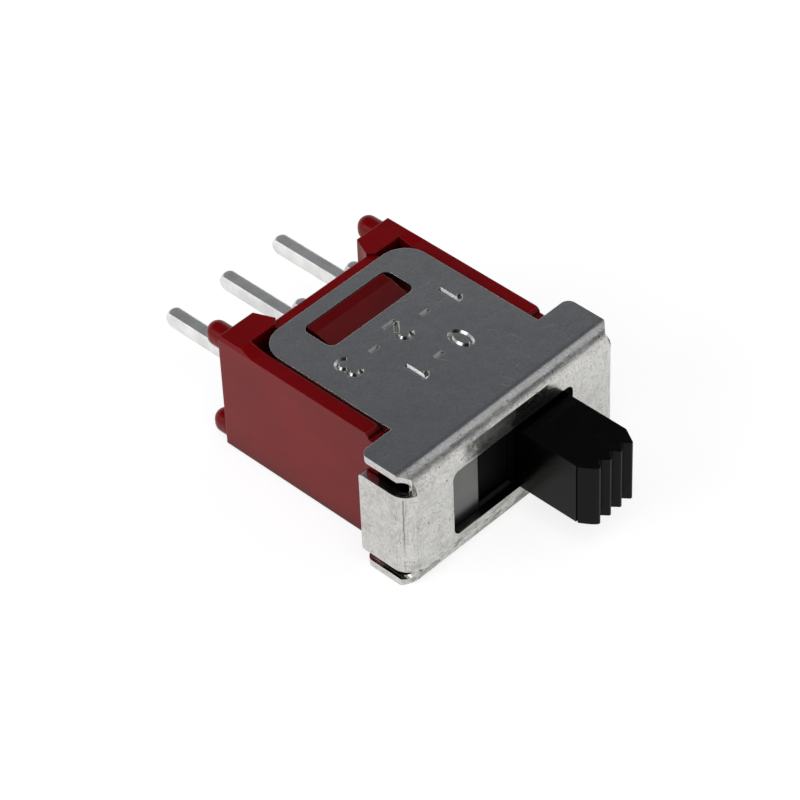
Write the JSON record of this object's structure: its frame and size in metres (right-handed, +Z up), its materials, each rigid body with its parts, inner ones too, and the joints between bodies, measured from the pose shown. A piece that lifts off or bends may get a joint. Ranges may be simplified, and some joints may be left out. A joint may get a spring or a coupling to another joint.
{
  "type": "slide switch",
  "caption": "Miniature slide switch with a folded tinned frame, a moulded housing, a sliding knob with a grip end, and a row of straight circuit board pins.",
  "frame": {"origin": "middle of the lowest face of the bounding box: on the lower plate's outer face, half way between the knob's end and the pin ends", "axes": "+X along the knob's travel, +Y from the knob towards the pins, +Z up from the lower plate to the upper one"},
  "size_m": [0.01, 0.0166, 0.0049],
  "materials": {
    "tinned_steel": "bright tin plate with fine pits and rolling marks",
    "red_plastic": "semi-gloss moulded",
    "black_plastic": "satin moulded",
    "grey_plastic": "smooth",
    "brass": "turned",
    "spring_steel": "drawn wire",
    "silvered_brass": "silver plated",
    "tinned_brass": "tin plated, stamped"
  },
  "bodies": {
    "switch_body": {"frame": "tinned_steel", "housing": "red_plastic", "terminal_left": "tinned_brass", "terminal_common": "tinned_brass", "terminal_right": "tinned_brass"},
    "slider": {"slider": "black_plastic", "spring": "spring_steel"},
    "dust_shutter": {"dust_shutter": "grey_plastic"},
    "rocker": {"rocker": "silvered_brass"},
    "plunger": {"plunger": "brass"}
  },
  "joints": [
    {"name": "slider_travel", "type": "slide", "parent": "switch_body", "child": "slider", "axis": [1, 0, 0], "range_m": [-0.00254, 0]},
    {"name": "shutter_travel", "type": "slide", "parent": "switch_body", "child": "dust_shutter", "axis": [1, 0, 0], "range_m": [-0.00102, 0]},
    {"name": "rocker_tilt", "type": "hinge", "parent": "switch_body", "child": "rocker", "pos_m": [0, 0.00035, 0.00245], "axis": [0, 0, 1], "range_deg": [-16, 0]},
    {"name": "plunger_press", "type": "slide", "parent": "slider", "child": "plunger", "axis": [0, -1, 0], "range_m": [0, 0.0005], "stiffness_N_per_m": 150, "deforming": ["spring"]}
  ],
  "couplings": [
    {"joint": "shutter_travel", "follows": "slider_travel", "ratio": 0.4015},
    {"joint": "rocker_tilt", "follows": "slider_travel", "rad_per_m": 109.9}
  ]
}
